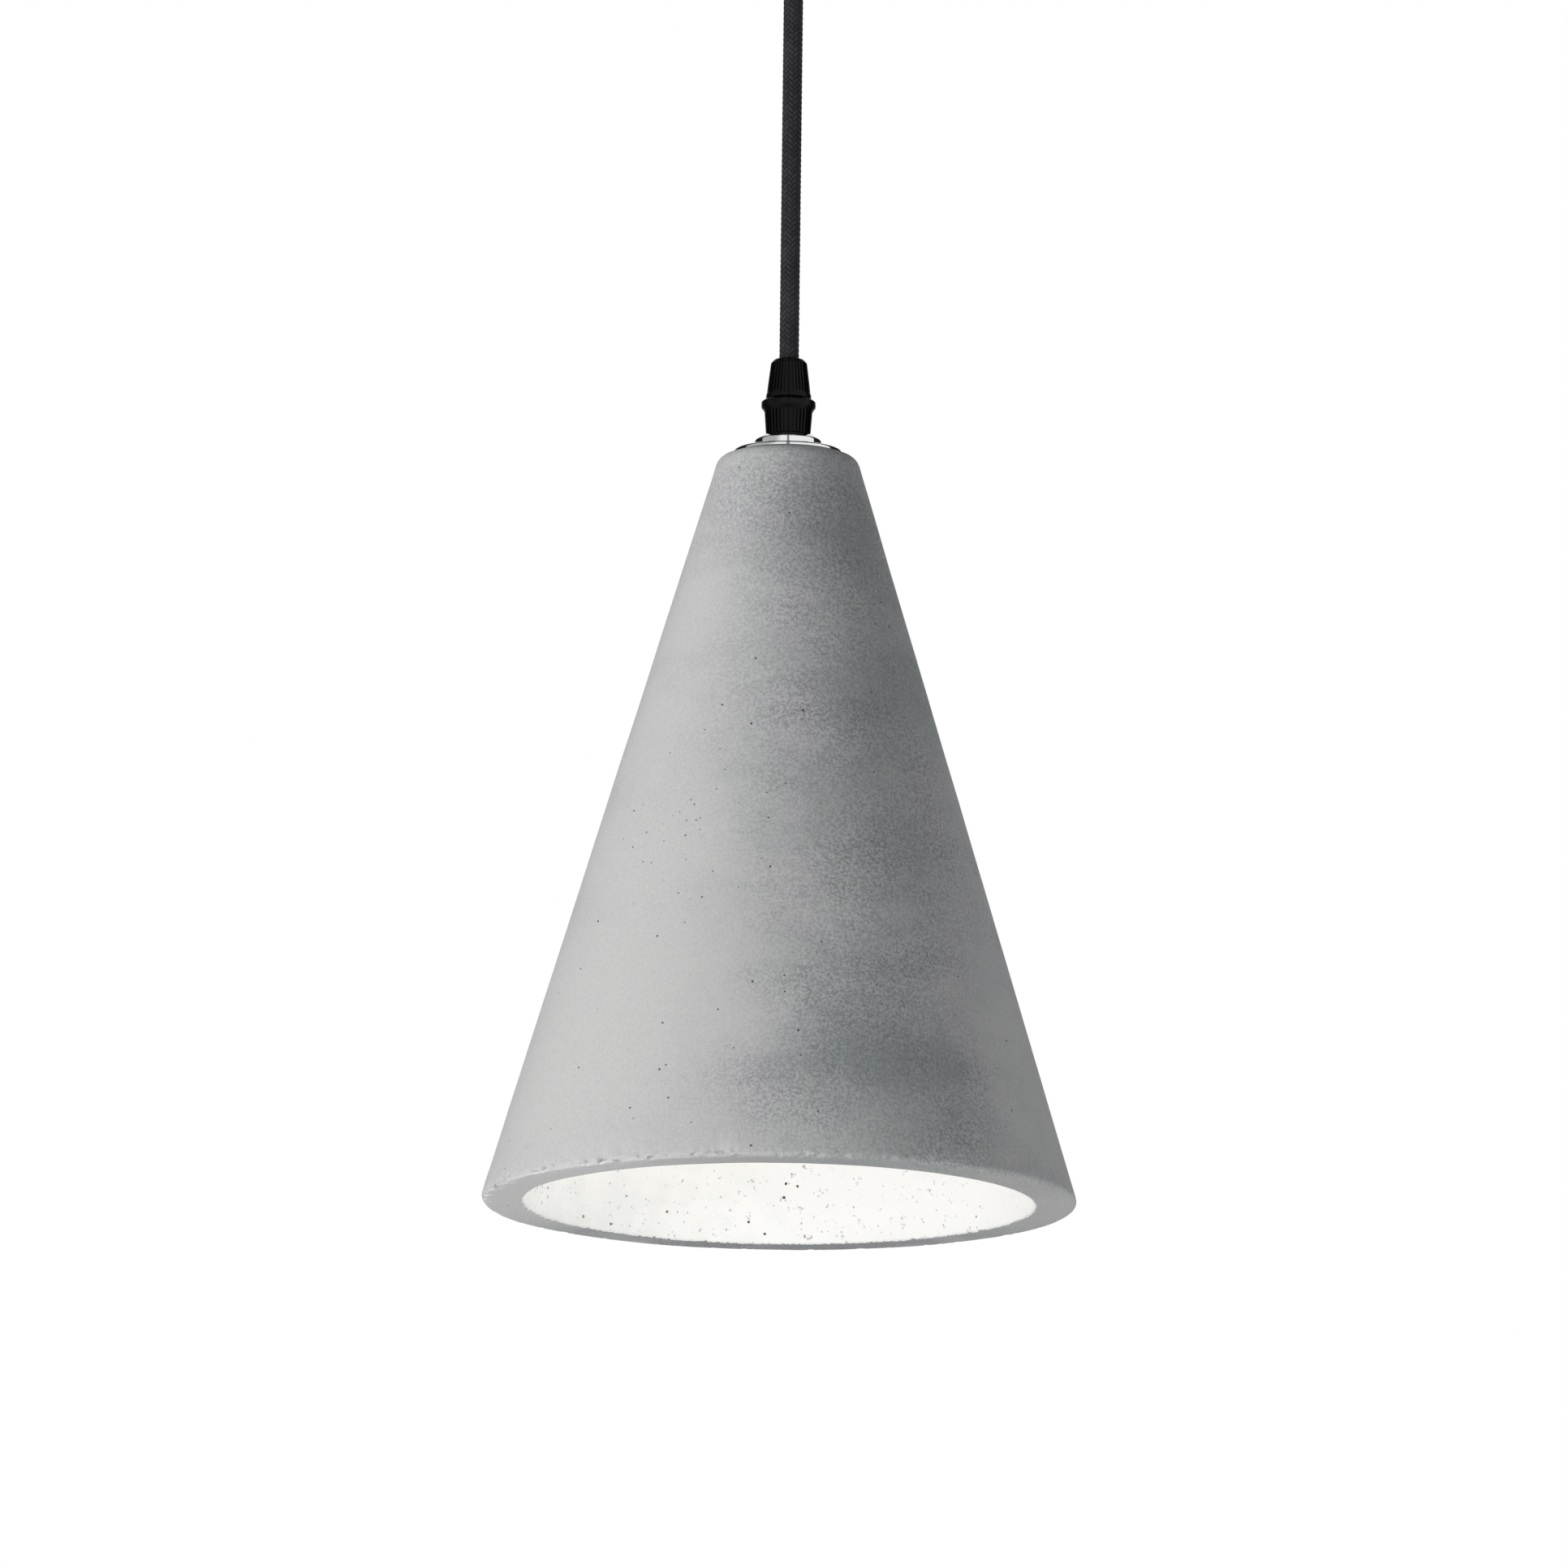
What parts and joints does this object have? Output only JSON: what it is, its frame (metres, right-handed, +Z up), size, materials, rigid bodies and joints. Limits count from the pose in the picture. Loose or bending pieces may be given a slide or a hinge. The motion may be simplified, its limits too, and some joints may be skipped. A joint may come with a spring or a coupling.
{
  "type": "pendant ceiling light",
  "caption": "Concrete cone pendant light on a round textile cord, with a chrome ceiling canopy, plastic cord grips, an inner lampholder and an opal bulb.",
  "frame": {"origin": "on the ceiling, at the middle of the ceiling bracket's top face", "axes": "+Z up into the ceiling along the cord's axis, +X to the right along the bracket strap, the light's front faces -Y"},
  "size_m": [0.19, 0.19, 0.4543],
  "materials": {
    "concrete": "matt cast concrete with fine pinholes",
    "chrome": "mirror chrome",
    "black_plastic": "satin moulded black plastic",
    "textile_cord": "charcoal braided textile",
    "zinc_steel": "zinc plated steel",
    "brass": "plain brass",
    "nylon": "natural white nylon",
    "rubber": "black rubber",
    "phenolic": "black phenolic moulding",
    "porcelain": "glazed porcelain",
    "brown_insulation": "brown PVC insulation",
    "blue_insulation": "blue PVC insulation",
    "opal": "opal diffuser, lit",
    "white_plastic": "white moulded plastic",
    "circuit_board": "white lacquered circuit board",
    "vitrite": "black insulating glass"
  },
  "bodies": {
    "ceiling_fitting": {"ceiling_bracket": "zinc_steel", "earth_washer": "brass", "earth_screw": "brass", "terminal_block": "nylon", "terminal_block_screw": "zinc_steel", "terminal_screw_live": "brass", "terminal_screw_neutral": "brass", "canopy": "chrome", "canopy_screw_left": "chrome", "canopy_screw_right": "chrome", "canopy_nipple": "zinc_steel", "canopy_nut": "zinc_steel", "canopy_grip_body": "black_plastic", "cord_tail_top": "textile_cord", "live_wire_top": "brown_insulation", "neutral_wire_top": "blue_insulation"},
    "upper_grip_cap": {"canopy_grip_cap": "black_plastic"},
    "hanging_cord": {"cord": "textile_cord"},
    "lower_grip_cap": {"shade_grip_cap": "black_plastic"},
    "pendant": {"shade_grip_body": "black_plastic", "chrome_boss": "chrome", "chrome_flange": "chrome", "shade": "concrete", "shade_nipple": "zinc_steel", "inner_pad": "rubber", "inner_washer": "zinc_steel", "inner_nut": "zinc_steel", "cord_tail_bottom": "textile_cord", "live_wire_bottom": "brown_insulation", "neutral_wire_bottom": "blue_insulation", "holder_cap": "phenolic", "holder_insert": "porcelain", "holder_screw_live": "brass", "holder_screw_neutral": "brass", "screw_shell": "brass", "centre_contact": "brass", "holder_skirt": "phenolic"},
    "bulb": {"bulb_contact": "zinc_steel", "bulb_insulator": "vitrite", "bulb_cap": "zinc_steel", "bulb_driver_board": "circuit_board", "bulb_collar": "white_plastic", "bulb_led_board": "circuit_board", "bulb_globe": "opal"}
  },
  "joints": [
    {"name": "upper_grip_cap_turn", "type": "hinge", "parent": "ceiling_fitting", "child": "upper_grip_cap", "pos_m": [0, 0, -0.0535], "axis": [0, 0, -1], "range_deg": [0, 360]},
    {"name": "cord_swing", "type": "hinge", "parent": "ceiling_fitting", "child": "hanging_cord", "pos_m": [0, 0, -0.0535], "axis": [0, 1, 0], "range_deg": [-30, 30]},
    {"name": "shade_rock", "type": "hinge", "parent": "hanging_cord", "child": "lower_grip_cap", "pos_m": [0, 0, -0.1771], "axis": [1, 0, 0], "range_deg": [-20, 20]},
    {"name": "shade_turn", "type": "hinge", "parent": "lower_grip_cap", "child": "pendant", "pos_m": [0, 0, -0.2023], "axis": [0, 0, 1], "range_deg": [-180, 180], "stiffness_Nm_per_rad": 0.002},
    {"name": "bulb_out", "type": "slide", "parent": "pendant", "child": "bulb", "axis": [0, 0, -1], "range_m": [0, 0.03]}
  ]
}
